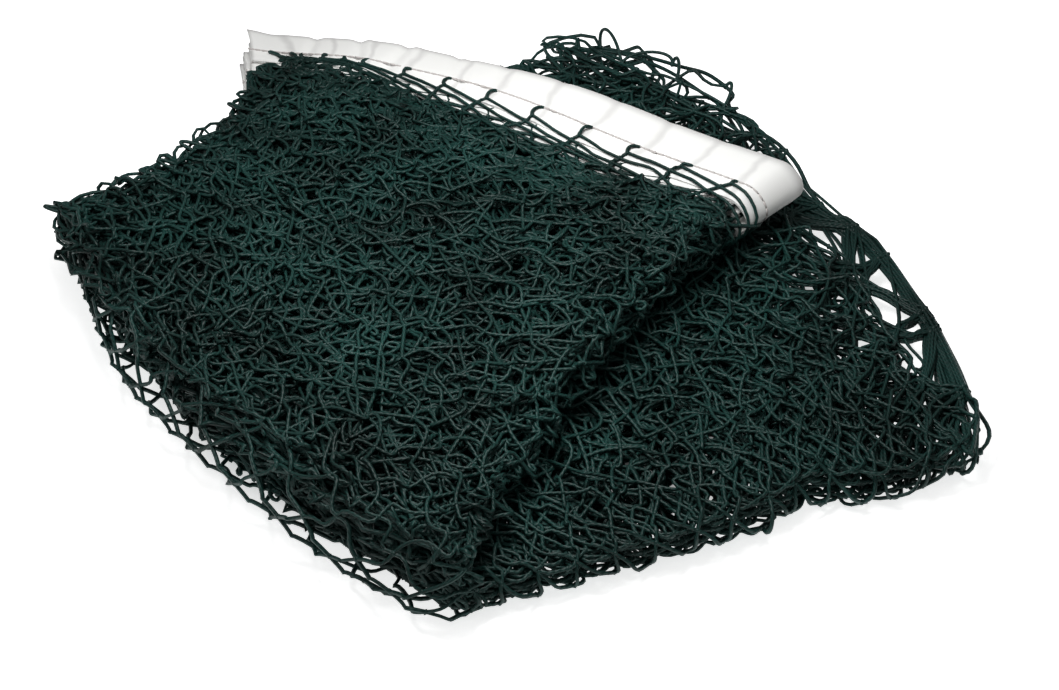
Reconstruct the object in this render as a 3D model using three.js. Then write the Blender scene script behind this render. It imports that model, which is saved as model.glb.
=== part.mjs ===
// A badminton net folded away for storage, in millimetres, +Z up, lying on the floor at z = 0.
// The net is laid back and forth, one lay on another, into a flat stack with the white head tape at
// its far end. The outermost lay wraps the right-hand side of the others. The whole stack is then
// folded over once along a slanted line at the front left, so that one half lies underneath and
// splays out to the right, as far as the net's bottom edge.

import * as THREE from "three";

const { clamp, lerp, smoothstep } = THREE.MathUtils;

// The stack: the lays of netting in each half of the bundle, and how they lie on each other.
const LAY_COUNT = 6;
const NETTING_THICKNESS = 2;
const PLUMP_PITCH = 4.3;
const THIN_PITCH = 3.7;
const PLUMP_RADIUS = 250;
const PLUMP_CENTRE = new THREE.Vector2(10, 40);
const HALVES_GAP = 2.4;
const PANEL_WIDTH = 325;

// The head tape: a doubled strip with the netting's top edge sewn in between its two flaps.
const TAPE_WIDTH = 37.5;
const TAPE_THICKNESS = 2.5;
const TAPE_SLOT = 1.2;
const TAPE_CREASE = 3;
const TAPE_RISE = 0.8;
const SEWN_EDGE_THICKNESS = 0.6;
const SEWN_EDGE_GAP = 0.6;
const SEWN_EDGE_SHOWS = 0.4;
const SEWN_EDGE_SWELLS = 1.1;

// Plan corners of the bundle, seen from above.
const TAPE_LEFT = new THREE.Vector2(-154, 272);
const TAPE_RIGHT = new THREE.Vector2(135, 116);
const FOLD_FAR = new THREE.Vector2(-237, 86);
const FOLD_NEAR = new THREE.Vector2(-34, -161);
const FOOT_FAR = new THREE.Vector2(46, 264);
const FOOT_NEAR = new THREE.Vector2(217, -66);

// How far the middle of each side of the plan bows to the left of the side's own direction.
const TAPE_BOW = 11;
const LEFT_SIDE_BOW = 36;
const RIGHT_SIDE_BOW = -20;
const FOLD_BOW = -20;
const BACK_SIDE_BOW = 6;
const FRONT_SIDE_BOW = -6;
const FOOT_BOW = 46;

// Dents in the two open sides of the lower half: where along the side, how deep to the left of its
// direction, and how long as a share of the side.
const FRONT_DENT = { at: 0.66, depth: 12, spread: 0.07 };
const FOOT_DENT = { at: 0.46, depth: -9, spread: 0.06 };

// The turns: the slanted fold's roundness, the outer wrap's reach and the tight turns' reach.
const FOLD_ROUNDNESS = 0.85;
const WRAP_REACH = 12;
const TURN_REACH = 2.5;

// Behind the tape nothing lies on the lower half, so it swells up there.
const BACK_SWELL = { height: 13, radius: 60, centre: new THREE.Vector2(85, 226) };

// The tape's left corner lies past the half underneath, so it droops.
const CORNER_DROOP = 15;
const DROOP_WIDTH = 0.3;

// The lays in the order that the net runs through them. Layer 0 is the outermost, on top of the
// bundle and at its very bottom. The reaches are how far a lay's two ends stand past the stack's
// sides, and how far its bottom edge stands past the stack's foot.
const LAYS = [
  { layer: 0, leftReach: -4, rightReach: 0, footReach: -3 },
  { layer: 5, leftReach: 6, rightReach: 0, footReach: 5 },
  { layer: 4, leftReach: 6, rightReach: 4, footReach: -2 },
  { layer: 3, leftReach: 1, rightReach: 4, footReach: 7 },
  { layer: 2, leftReach: 1, rightReach: 2, footReach: 0 },
  { layer: 1, leftReach: 4, rightReach: 2, footReach: 4 },
];

// Soft unevenness of the stack's thickness, as long waves in the plan, and of its left-hand side.
const RIPPLES = [
  { amount: 0.06, wavelength: 230, heading: 0.6, phase: 0.4 },
  { amount: 0.045, wavelength: 160, heading: 2.3, phase: 2.2 },
];
const SIDE_WAVE = 4;
const SIDE_WAVE_RATE = 3.6;
const SIDE_WAVE_STEP = 1.9;

// The netting's mesh is cut through on the two lays that lie open to view, at 1.8 times its pitch.
const LAY_CELLS = 9;
const UPPER_CELLS = 9;
const LOWER_CELLS = 9;
const FOLD_SPANS = 6;
const WRAP_SPANS = 6;
const TURN_SPANS = 4;
const CORD_SHARE = 0.07;
const ZIGZAG_SHARE = 0.2;

// Along the stack: 0 to 1 is the upper half, 1 to 2 the slanted fold and 2 to 3 the lower half.
const UPPER_END = 1;
const LOWER_START = 2;
const UPPER_LENGTH = 275;
const LOWER_LENGTH = 290;
const SLOPE_STEP = 0.004;

// The middle of the bundle's plan, which becomes the origin.
const PLAN_MIDDLE = new THREE.Vector2(-15.45, 47.81);

const nettingTwine = new THREE.MeshStandardMaterial({ color: "#1d332d", roughness: 0.75, metalness: 0 });
const whiteTapeCloth = new THREE.MeshStandardMaterial({ color: "#f1f1f0", roughness: 0.85, metalness: 0 });

function bowedSide(from, to, bow) {
  const along = to.clone().sub(from);
  const leftward = new THREE.Vector2(-along.y, along.x).normalize();
  const control = from.clone().lerp(to, 0.5).addScaledVector(leftward, 2 * bow);
  return new THREE.QuadraticBezierCurve(from, control, to);
}

function dentedSide(side, dent) {
  const along = side.getPoint(1).sub(side.getPoint(0));
  const leftward = new THREE.Vector2(-along.y, along.x).normalize();
  return {
    getPoint(share) {
      const depth = dent.depth * Math.exp(-(((share - dent.at) / dent.spread) ** 2));
      return side.getPoint(share).addScaledVector(leftward, depth);
    },
  };
}

const tapeSide = bowedSide(TAPE_LEFT, TAPE_RIGHT, TAPE_BOW);
const leftSide = bowedSide(TAPE_LEFT, FOLD_FAR, LEFT_SIDE_BOW);
const rightSide = bowedSide(TAPE_RIGHT, FOLD_NEAR, RIGHT_SIDE_BOW);
const foldSide = bowedSide(FOLD_FAR, FOLD_NEAR, FOLD_BOW);
const backSide = bowedSide(FOLD_FAR, FOOT_FAR, BACK_SIDE_BOW);
const frontSide = dentedSide(bowedSide(FOLD_NEAR, FOOT_NEAR, FRONT_SIDE_BOW), FRONT_DENT);
const footSide = dentedSide(bowedSide(FOOT_FAR, FOOT_NEAR, FOOT_BOW), FOOT_DENT);

// A point of the four-sided patch whose start and end sides run across it and whose others run along.
function patchPoint(start, end, left, right, across, along) {
  const point = start.getPoint(across).multiplyScalar(1 - along);
  point.addScaledVector(end.getPoint(across), along);
  point.addScaledVector(left.getPoint(along), 1 - across);
  point.addScaledVector(right.getPoint(along), across);
  point.addScaledVector(start.getPoint(0), -(1 - across) * (1 - along));
  point.addScaledVector(start.getPoint(1), -across * (1 - along));
  point.addScaledVector(end.getPoint(0), -(1 - across) * along);
  point.addScaledVector(end.getPoint(1), -across * along);
  return point;
}

const upperPlan = (across, along) => patchPoint(tapeSide, foldSide, leftSide, rightSide, across, along);
const lowerPlan = (across, along) => patchPoint(foldSide, footSide, backSide, frontSide, across, along);

function ripple(plan) {
  let sum = 0;
  for (const { amount, wavelength, heading, phase } of RIPPLES) {
    const distance = plan.x * Math.cos(heading) + plan.y * Math.sin(heading);
    sum += amount * Math.sin((2 * Math.PI * distance) / wavelength + phase);
  }
  return sum;
}

// The distance from one lay to the next: plump in the middle of the bundle, thinner at its edges.
function stackPitch(plan) {
  const plumpness = Math.exp(-((plan.distanceTo(PLUMP_CENTRE) / PLUMP_RADIUS) ** 2));
  return lerp(THIN_PITCH, PLUMP_PITCH, plumpness) * (1 + ripple(plan));
}

function lowerHeight(plan, layer) {
  const swell = BACK_SWELL.height * Math.exp(-((plan.distanceTo(BACK_SWELL.centre) / BACK_SWELL.radius) ** 2));
  return NETTING_THICKNESS / 2 + layer * stackPitch(plan) + (layer / (LAY_COUNT - 1)) * swell;
}

function upperHeight(plan, across, along, layer) {
  const lowest = lowerHeight(plan, LAY_COUNT - 1) + NETTING_THICKNESS + HALVES_GAP;
  const unsupported = (1 - along) ** 2 * DROOP_WIDTH - across;
  const droop = CORNER_DROOP * smoothstep(unsupported, 0, DROOP_WIDTH);
  const tapeRise = TAPE_RISE * (1 - smoothstep(along * UPPER_LENGTH, 0, 2 * TAPE_WIDTH));
  return lowest - droop + (LAY_COUNT - 1 - layer) * (stackPitch(plan) + tapeRise);
}

function foldOutward(across) {
  const tangent = foldSide.getTangent(clamp(across, 0, 1));
  return new THREE.Vector2(tangent.y, -tangent.x);
}

// A point in the bundle: how far across the stack, how far along it, and on which layer.
function bundlePoint(across, along, layer) {
  if (along <= UPPER_END) {
    const plan = upperPlan(across, along);
    return new THREE.Vector3(plan.x, plan.y, upperHeight(plan, across, along, layer));
  }
  if (along >= LOWER_START) {
    const plan = lowerPlan(across, along - LOWER_START);
    return new THREE.Vector3(plan.x, plan.y, lowerHeight(plan, layer));
  }
  const plan = foldSide.getPoint(across);
  const top = upperHeight(plan, across, UPPER_END, layer);
  const bottom = lowerHeight(plan, layer);
  const turn = (along - UPPER_END) * Math.PI;
  const reach = (FOLD_ROUNDNESS * (top - bottom) * Math.sin(turn)) / 2;
  plan.addScaledVector(foldOutward(across), reach);
  return new THREE.Vector3(plan.x, plan.y, (top + bottom + (top - bottom) * Math.cos(turn)) / 2);
}

// One lay, from side to side of the stack, as places across it.
function layPlaces(lay, rightward) {
  const left = -lay.leftReach / PANEL_WIDTH;
  const right = 1 + lay.rightReach / PANEL_WIDTH;
  const places = [];
  for (let cell = 0; cell <= LAY_CELLS; cell++) {
    const share = rightward ? cell / LAY_CELLS : 1 - cell / LAY_CELLS;
    const zigzag = cell > 0 && cell < LAY_CELLS ? ZIGZAG_SHARE / LAY_CELLS : 0;
    places.push({ ...lay, across: lerp(left, right, share), zigzag, rightward, turning: false });
  }
  return places;
}

// The turn from the end of one lay to the start of the next, round the outside of the stack.
function turnPlaces(lay, next, rightward) {
  const wraps = Math.abs(next.layer - lay.layer) > 1;
  const spans = wraps ? WRAP_SPANS : TURN_SPANS;
  const outward = rightward ? 1 : -1;
  const side = rightward ? 1 + lay.rightReach / PANEL_WIDTH : -lay.leftReach / PANEL_WIDTH;
  const reach = (outward * (wraps ? WRAP_REACH : TURN_REACH)) / PANEL_WIDTH;
  const places = [];
  for (let span = 1; span < spans; span++) {
    const turn = (span / spans) * Math.PI;
    places.push({
      layer: (lay.layer + next.layer + (lay.layer - next.layer) * Math.cos(turn)) / 2,
      across: side + reach * Math.sin(turn),
      footReach: lerp(lay.footReach, next.footReach, span / spans),
      leftReach: lay.leftReach,
      zigzag: 0,
      rightward,
      turning: true,
    });
  }
  return places;
}

// The whole way of the net through the stack, lay by lay from its first end.
function netRun() {
  return LAYS.flatMap((lay, index) => {
    const rightward = index % 2 === 0;
    const next = LAYS[index + 1];
    const turn = next ? turnPlaces(lay, next, rightward) : [];
    return [...layPlaces(lay, rightward), ...turn];
  });
}

// The stations along the stack for the netting: its sewn edge, the two halves' rows of meshes and
// the slanted fold between them.
function nettingStations() {
  const sewn = { thickness: SEWN_EDGE_THICKNESS, zigzag: 0, half: "sewn" };
  const plain = { thickness: NETTING_THICKNESS, zigzag: 0 };
  const firstRow = (TAPE_WIDTH + SEWN_EDGE_SWELLS) / UPPER_LENGTH;
  const stations = [
    { ...sewn, along: (TAPE_CREASE + SEWN_EDGE_GAP) / UPPER_LENGTH },
    { ...sewn, along: (TAPE_WIDTH + SEWN_EDGE_SHOWS) / UPPER_LENGTH },
  ];
  const alternate = (row) => (row % 2 === 0 ? 1 : -1);
  for (let row = 0; row < UPPER_CELLS; row++) {
    const along = lerp(firstRow, UPPER_END, row / UPPER_CELLS);
    stations.push({ ...plain, along, zigzag: alternate(row), half: "upper" });
  }
  for (let span = 0; span < FOLD_SPANS; span++) {
    stations.push({ ...plain, along: UPPER_END + span / FOLD_SPANS, half: "fold" });
  }
  for (let row = 0; row <= LOWER_CELLS; row++) {
    const zigzag = row > 0 && row < LOWER_CELLS ? alternate(row) : 0;
    stations.push({ ...plain, along: LOWER_START + row / LOWER_CELLS, zigzag, half: "lower" });
  }
  return stations;
}

// A place on the net in the bundle, with the side's wander and the uneven bottom edge.
function netPoint(place, station) {
  const wander = SIDE_WAVE * Math.sin(SIDE_WAVE_RATE * station.along + SIDE_WAVE_STEP * place.leftReach);
  const nearLeft = clamp(1 - place.across, 0, 1) ** 3;
  const across = place.across - (nearLeft * wander) / PANEL_WIDTH + place.zigzag * station.zigzag;
  const inLower = clamp(station.along - LOWER_START, 0, 1);
  return bundlePoint(across, station.along + (inLower * place.footReach) / LOWER_LENGTH, place.layer);
}

// The net's middle surface on a grid of places and stations, with the direction square to it.
function surfaceGrid(run, stations) {
  const slope = (place, station) => {
    const farther = netPoint(place, { ...station, along: station.along + SLOPE_STEP });
    return farther.sub(netPoint(place, { ...station, along: station.along - SLOPE_STEP }));
  };
  return run.map((place, index) => {
    const before = run[Math.max(index - 1, 0)];
    const after = run[Math.min(index + 1, run.length - 1)];
    return stations.map((station) => {
      const acrossStep = netPoint(after, station).sub(netPoint(before, station));
      const square = acrossStep.cross(slope(place, station)).normalize();
      return { middle: netPoint(place, station), square };
    });
  });
}

// A mesh that is written point by point and face by face.
function meshWriter() {
  const positions = [];
  const faces = [];
  return {
    point(grid, offset) {
      const point = grid.middle.clone().addScaledVector(grid.square, offset);
      positions.push(point.x, point.y, point.z);
      return positions.length / 3 - 1;
    },
    between(corners, acrossShare, alongShare) {
      const at = (corner) => new THREE.Vector3().fromArray(positions, corner * 3);
      const near = at(corners[0]).lerp(at(corners[1]), acrossShare);
      const far = at(corners[3]).lerp(at(corners[2]), acrossShare);
      positions.push(...near.lerp(far, alongShare).toArray());
      return positions.length / 3 - 1;
    },
    triangle: (a, b, c) => faces.push(a, b, c),
    quad: (a, b, c, d) => faces.push(a, b, c, a, c, d),
    turnedQuad: (a, b, c, d) => faces.push(b, c, d, b, d, a),
    geometry() {
      const geometry = new THREE.BufferGeometry();
      geometry.setAttribute("position", new THREE.Float32BufferAttribute(positions, 3));
      geometry.setIndex(faces);
      geometry.computeVertexNormals();
      return geometry;
    },
  };
}

// A cell of the netting with its mesh cut through: a frame of cords on both faces and the hole's walls.
function cutCell(mesh, front, back) {
  const inset = [
    [CORD_SHARE, CORD_SHARE],
    [1 - CORD_SHARE, CORD_SHARE],
    [1 - CORD_SHARE, 1 - CORD_SHARE],
    [CORD_SHARE, 1 - CORD_SHARE],
  ];
  const frontHole = inset.map(([across, along]) => mesh.between(front, across, along));
  const backHole = inset.map(([across, along]) => mesh.between(back, across, along));
  for (let corner = 0; corner < inset.length; corner++) {
    const next = (corner + 1) % inset.length;
    mesh.quad(front[corner], front[next], frontHole[next], frontHole[corner]);
    mesh.quad(back[next], back[corner], backHole[corner], backHole[next]);
    mesh.quad(frontHole[corner], frontHole[next], backHole[next], backHole[corner]);
  }
}

// The half of the bundle in which a layer is the top one, open to view, if there is one.
function openHalf(layer) {
  if (layer === 0) return "upper";
  return layer === LAY_COUNT - 1 ? "lower" : null;
}

// The netting: one closed sheet, cut through where it lies open to view.
function nettingGeometry() {
  const run = netRun();
  const stations = nettingStations();
  const grid = surfaceGrid(run, stations);
  const mesh = meshWriter();
  const face = (side) =>
    grid.map((column) => column.map((place, row) => mesh.point(place, (side * stations[row].thickness) / 2)));
  const front = face(1);
  const back = face(-1);
  const isCut = (i, j) => {
    const liesOpen = stations[j].half === openHalf(run[i].layer);
    return liesOpen && !run[i].turning && !run[i + 1].turning;
  };
  const lastPlace = run.length - 1;
  const lastStation = stations.length - 1;
  for (let i = 0; i < lastPlace; i++) {
    for (let j = 0; j < lastStation; j++) {
      const corners = (side) => [side[i][j], side[i + 1][j], side[i + 1][j + 1], side[i][j + 1]];
      if (isCut(i, j)) {
        cutCell(mesh, corners(front), corners(back));
        continue;
      }
      const [a, b, c, d] = corners(back);
      if (run[i].rightward) {
        mesh.quad(...corners(front));
        mesh.quad(c, b, a, d);
      } else {
        mesh.turnedQuad(...corners(front));
        mesh.turnedQuad(c, b, a, d);
      }
    }
    const [frontHere, frontNext, backHere, backNext] = [front[i], front[i + 1], back[i], back[i + 1]];
    mesh.quad(frontNext[0], frontHere[0], backHere[0], backNext[0]);
    mesh.quad(frontHere.at(-1), frontNext.at(-1), backNext.at(-1), backHere.at(-1));
  }
  for (let j = 0; j < lastStation; j++) {
    mesh.quad(front[0][j], front[0][j + 1], back[0][j + 1], back[0][j]);
    mesh.quad(front[lastPlace][j + 1], front[lastPlace][j], back[lastPlace][j], back[lastPlace][j + 1]);
  }
  return mesh.geometry();
}

// The tape's section: its two flaps, closed along the crease and open towards the netting.
function tapeSection() {
  const outside = TAPE_THICKNESS / 2;
  const inside = TAPE_SLOT / 2;
  return [
    { along: 0, offset: outside },
    { along: TAPE_CREASE, offset: outside },
    { along: TAPE_WIDTH, offset: outside },
    { along: TAPE_WIDTH, offset: inside },
    { along: TAPE_CREASE, offset: inside },
    { along: TAPE_CREASE, offset: -inside },
    { along: TAPE_WIDTH, offset: -inside },
    { along: TAPE_WIDTH, offset: -outside },
    { along: TAPE_CREASE, offset: -outside },
    { along: 0, offset: -outside },
  ];
}

// The head tape: its section carried along the net's top edge, through every lay and turn.
function tapeGeometry() {
  const run = netRun();
  const section = tapeSection();
  const stations = section.map(({ along }) => ({ along: along / UPPER_LENGTH, zigzag: 0 }));
  const grid = surfaceGrid(run, stations);
  const mesh = meshWriter();
  const rings = grid.map((column) =>
    column.map((place, corner) => mesh.point(place, section[corner].offset)),
  );
  for (let i = 0; i < run.length - 1; i++) {
    for (let corner = 0; corner < section.length; corner++) {
      const next = (corner + 1) % section.length;
      const goesOut = section[next].along >= section[corner].along;
      const corners = [rings[i][corner], rings[i + 1][corner], rings[i + 1][next], rings[i][next]];
      if (goesOut === run[i].rightward) mesh.quad(...corners);
      else mesh.turnedQuad(...corners);
    }
  }
  const outline = section.map(({ along, offset }) => new THREE.Vector2(along, offset));
  const first = rings[0];
  const last = rings[run.length - 1];
  for (const [a, b, c] of THREE.ShapeUtils.triangulateShape(outline, [])) {
    mesh.triangle(first[c], first[b], first[a]);
    mesh.triangle(last[a], last[b], last[c]);
  }
  return mesh.geometry();
}

function namedMesh(name, geometry, material) {
  const mesh = new THREE.Mesh(geometry, material);
  mesh.name = name;
  return mesh;
}

const bundle = new THREE.Group();
bundle.add(namedMesh("net", nettingGeometry(), nettingTwine));
bundle.add(namedMesh("head_tape", tapeGeometry(), whiteTapeCloth));
bundle.position.set(-PLAN_MIDDLE.x, -PLAN_MIDDLE.y, 0);

export default bundle;
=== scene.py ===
"""A badminton net folded away for storage: dark green knotted twine with a white head tape.

The net is laid back and forth into a stack of lays, and the stack is folded over once on a slant.
Every bar of twine between two knots is laid out here at its real size, in the frame of the part.
Sizes are in millimetres, and become metres only where Blender is given them.
"""

import math

import bpy
import numpy as np
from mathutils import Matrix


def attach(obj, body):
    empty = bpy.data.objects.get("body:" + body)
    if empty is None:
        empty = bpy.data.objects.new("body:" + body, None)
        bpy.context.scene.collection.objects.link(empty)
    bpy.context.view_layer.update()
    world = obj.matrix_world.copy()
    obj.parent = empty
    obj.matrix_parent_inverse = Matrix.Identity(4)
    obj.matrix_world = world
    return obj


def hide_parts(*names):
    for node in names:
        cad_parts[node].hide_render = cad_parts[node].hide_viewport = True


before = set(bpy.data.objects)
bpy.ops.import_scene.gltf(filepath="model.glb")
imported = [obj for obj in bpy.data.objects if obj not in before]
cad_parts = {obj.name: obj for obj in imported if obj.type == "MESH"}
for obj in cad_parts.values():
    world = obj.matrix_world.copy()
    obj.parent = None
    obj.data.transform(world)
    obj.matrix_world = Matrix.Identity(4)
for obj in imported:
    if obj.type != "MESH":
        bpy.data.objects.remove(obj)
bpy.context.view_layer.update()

MM = 0.001
SEED = 61
rng = np.random.default_rng(SEED)

# The net: 6.1 m of head tape, and meshes with bars of about 20 mm from knot to knot.
NET_LENGTH = 6100.0
BAR_LENGTH = 21.0
TWINE_DIAMETER = 1.9
SELVAGE_DIAMETER = 2.0
LAY_COUNT = 18
MESH_COUNT = 202
MESHES_IN_LAY = MESH_COUNT / LAY_COUNT
ROW_COUNT = 60

# Plan corners of the bundle, seen from above, before the middle of the plan becomes the origin.
PLAN_MIDDLE = np.array([-15.45, 47.81])
TAPE_LEFT = np.array([-155.0, 266.0])
TAPE_RIGHT = np.array([135.0, 116.0])
FOLD_FAR = np.array([-237.0, 86.0])
FOLD_NEAR = np.array([-34.0, -161.0])
FOOT_FAR = np.array([46.0, 264.0])
FOOT_NEAR = np.array([217.0, -66.0])

# How far the middle of each side of the plan bows to the left of the side's own direction.
TAPE_BOW = 11.0
LEFT_SIDE_BOW = 36.0
RIGHT_SIDE_BOW = -20.0
FOLD_BOW = -20.0
BACK_SIDE_BOW = 6.0
FRONT_SIDE_BOW = -6.0
FOOT_BOW = 46.0

# Dents in the open sides of the lower half: where along, how deep to the left, and how long.
FRONT_DENT = {"at": 0.66, "depth": 12.0, "spread": 0.07}
FOOT_DENT = {"at": 0.46, "depth": -9.0, "spread": 0.06}

# The height of one half of the stack, plump in the middle of the bundle and thinner at its edges.
PLUMP_STACK = 21.5
THIN_STACK = 18.5
PLUMP_RADIUS = 250.0
PLUMP_CENTRE = np.array([10.0, 40.0])
FLOOR_CLEARANCE = 1.0
LOWEST_TWINE = 2.2
HALVES_GAP = 4.2
TAPE_RISE = 4.0
TAPE_WIDTH = 37.5
PANEL_WIDTH = 325.0
CORNER_DROOP = 15.0
DROOP_WIDTH = 0.3
RIPPLES = [
    {"amount": 0.06, "wavelength": 230.0, "heading": 0.6, "phase": 0.4},
    {"amount": 0.045, "wavelength": 160.0, "heading": 2.3, "phase": 2.2},
]

# Behind the tape nothing lies on the lower half, so it swells up there.
SWELL_HEIGHT = 13.0
SWELL_RADIUS = 60.0
SWELL_CENTRE = np.array([85.0, 226.0])

# The bottom edges of the lays are gathered into one band, mesh on mesh, but for the two corners,
# where they end unevenly.
FOOT_BAND_LEVEL = 9.0
FOOT_BAND_HEIGHT = 4.0
FOOT_BAND_SPREAD = 0.25
FOOT_GATHERS = (2.865, 2.945)
FOOT_GATHERS_BETWEEN = [(0.36, 0.48), (0.99, 0.87)]
FOOT_ENDS = (-20.0, 2.0)
FOOT_ENDS_FROM = 2.6

# Netting of the upper layers heaped against the tape, and over its lower part at the left.
HEAP_HEIGHT = 8.0
HEAP_LAYERS = 5.0
HEAP_AT_LEFT = 33.0
HEAP_AT_RIGHT = 44.0
HEAP_TURNS = (0.15, 0.5)
HEAP_SLOPE = 12.0
HEAP_STOPS = (60.0, 110.0)

# Along the stack: 0 to 1 is the upper half, 1 to 2 the slanted fold and 2 to 3 the lower half.
UPPER_LENGTH = 275.0
FOLD_LENGTH = 62.0
LOWER_LENGTH = 290.0

# By the tape the under lays lie farther back, in steps: how far at most, in how many layers most of
# the way, and between which places across the stack the steps fade out before the wrapped end.
TAPE_STEPS = 13.0
STEPPED_LAYERS = 1.6
STEPS_END = (0.8, 1.0)

# How far the slanted fold stands off, at its near part and its far end, and how the layers inside the
# loose outermost ones are tucked in.
FOLD_ROUNDNESS = 1.0
FAR_ROUNDNESS = 0.4
FAR_SHARE = 0.4
FOLD_TUCK = 0.95
LOOSE_LAYERS = 1.0

# The turns at the sides of the stack, as shares of a lay, and how far they stand out. The wrapped end
# is creased, and the uppermost turns under it stand out less, so that none comes through it.
TURN_SHARE = 0.03
WRAP_SHARE = 0.055
WRAP_REACH = 13.0
WRAP_EDGE_ROUNDING = 0.3
TURN_REACH_LOW = 0.0
TURN_REACH_HIGH = 8.0
TURNS_UNDER_WRAP = 14
REACH_UNDER_WRAP = 0.3

# How far the turns of the lower half fan out at the back and at the front, and where they begin to.
BACK_FAN = (-12.0, 6.0)
FRONT_FAN = (-12.0, -1.0)
FAN_OPENS = (1.9, 2.7)

# The step to each side over which a slope is measured.
SLOPE_STEP = 0.001

# How far the netting is drawn in at the left by the tape, over which rows and share of the stack.
DRAWN_IN = 9.0
DRAWN_IN_ROWS = (4, 16)
DRAWN_IN_SHARE = 0.12

# How far the rows of one lay lie off those of the others, between which rows.
LAY_SHIFT = (-6.0, 6.0)
LAYS_SHIFT_FROM = (8, 14)
LAYS_SHIFT_TO = (52, 57)

# Rows of the outermost lay slip together low on the slanted fold, where they stand off.
SLIP_MIDDLE = 1.62
SLIP_REACH = 0.36
SLIP_SHARE = 0.6


def smooth_step(value, low, high):
    share = np.clip((value - low) / (high - low), 0.0, 1.0)
    return share * share * (3.0 - 2.0 * share)


def between(first, last, share):
    return first + (last - first) * share


def bell(distance, width):
    return np.exp(-((distance / width) ** 2))


def unit(vectors):
    length = np.linalg.norm(vectors, axis=-1, keepdims=True)
    return vectors / np.maximum(length, 1e-9)


def leftward_of(start, end):
    along = unit(end - start)
    return np.array([-along[1], along[0]])


def bowed_side(start, end, bow):
    control = (start + end) / 2 + 2 * bow * leftward_of(start, end)

    def point(share):
        share = np.asarray(share, float)[:, None]
        return (1 - share) ** 2 * start + 2 * share * (1 - share) * control + share**2 * end

    return point


def dented_side(start, end, bow, dent):
    side = bowed_side(start, end, bow)
    leftward = leftward_of(start, end)

    def point(share):
        depth = dent["depth"] * bell(share - dent["at"], dent["spread"])
        return side(share) + depth[:, None] * leftward

    return point


def four_sided_patch(start, end, left, right):
    zero, one = np.zeros(1), np.ones(1)

    def point(across, along):
        w, v = across[:, None], along[:, None]
        sides = (1 - v) * start(across) + v * end(across) + (1 - w) * left(along) + w * right(along)
        near = (1 - w) * start(zero) + w * start(one)
        far = (1 - w) * end(zero) + w * end(one)
        return sides - (1 - v) * near - v * far

    return point


fold_side = bowed_side(FOLD_FAR, FOLD_NEAR, FOLD_BOW)
upper_plan = four_sided_patch(
    bowed_side(TAPE_LEFT, TAPE_RIGHT, TAPE_BOW),
    fold_side,
    bowed_side(TAPE_LEFT, FOLD_FAR, LEFT_SIDE_BOW),
    bowed_side(TAPE_RIGHT, FOLD_NEAR, RIGHT_SIDE_BOW),
)
lower_plan = four_sided_patch(
    fold_side,
    dented_side(FOOT_FAR, FOOT_NEAR, FOOT_BOW, FOOT_DENT),
    bowed_side(FOLD_FAR, FOOT_FAR, BACK_SIDE_BOW),
    dented_side(FOLD_NEAR, FOOT_NEAR, FRONT_SIDE_BOW, FRONT_DENT),
)


def stack_height(plan):
    """The height of one half of the stack over a place in the plan."""
    plumpness = bell(np.linalg.norm(plan - PLUMP_CENTRE, axis=1), PLUMP_RADIUS)
    ripple = np.zeros(len(plan))
    for wave in RIPPLES:
        heading = np.array([math.cos(wave["heading"]), math.sin(wave["heading"])])
        turns = (plan @ heading) / wave["wavelength"]
        ripple += wave["amount"] * np.sin(2 * math.pi * turns + wave["phase"])
    return between(THIN_STACK, PLUMP_STACK, plumpness) * (1 + ripple)


def lower_height(plan, depth):
    swell = SWELL_HEIGHT * bell(np.linalg.norm(plan - SWELL_CENTRE, axis=1), SWELL_RADIUS)
    return FLOOR_CLEARANCE + depth * (stack_height(plan) + swell)


def upper_height(plan, across, along, depth):
    lowest = lower_height(plan, np.ones(len(plan))) + HALVES_GAP
    unsupported = (1 - along) ** 2 * DROOP_WIDTH - across
    droop = CORNER_DROOP * smooth_step(unsupported, 0.0, DROOP_WIDTH)
    rise = TAPE_RISE * (1 - smooth_step(along * UPPER_LENGTH, 0.0, 2 * TAPE_WIDTH))
    return lowest - droop + (1 - depth) * (stack_height(plan) + rise)


def foot_gathering(across, along):
    gathered = smooth_step(along, *FOOT_GATHERS)
    for edge, middle in FOOT_GATHERS_BETWEEN:
        gathered = gathered * smooth_step(across, edge, middle)
    return gathered


def foot_height(plan, across, along, depth):
    gathered = foot_gathering(across, along)
    band = FOOT_BAND_LEVEL + FOOT_BAND_HEIGHT * depth
    return lower_height(plan, depth) * (1 - gathered) + band * gathered


def step_back(across, along, depth):
    """How much farther along the stack the under lays lie by the tape, where their edges show."""
    steps = TAPE_STEPS * (1 - np.exp(-depth * (LAY_COUNT - 1) / STEPPED_LAYERS))
    steps *= 1 - smooth_step(along * UPPER_LENGTH, TAPE_WIDTH, 3 * TAPE_WIDTH)
    return steps / UPPER_LENGTH * (1 - smooth_step(across, *STEPS_END))


def fold_outward(across):
    inside = np.clip(across, SLOPE_STEP, 1 - SLOPE_STEP)
    tangent = unit(fold_side(inside + SLOPE_STEP) - fold_side(inside - SLOPE_STEP))
    return np.stack([tangent[:, 1], -tangent[:, 0]], axis=1)


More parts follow.
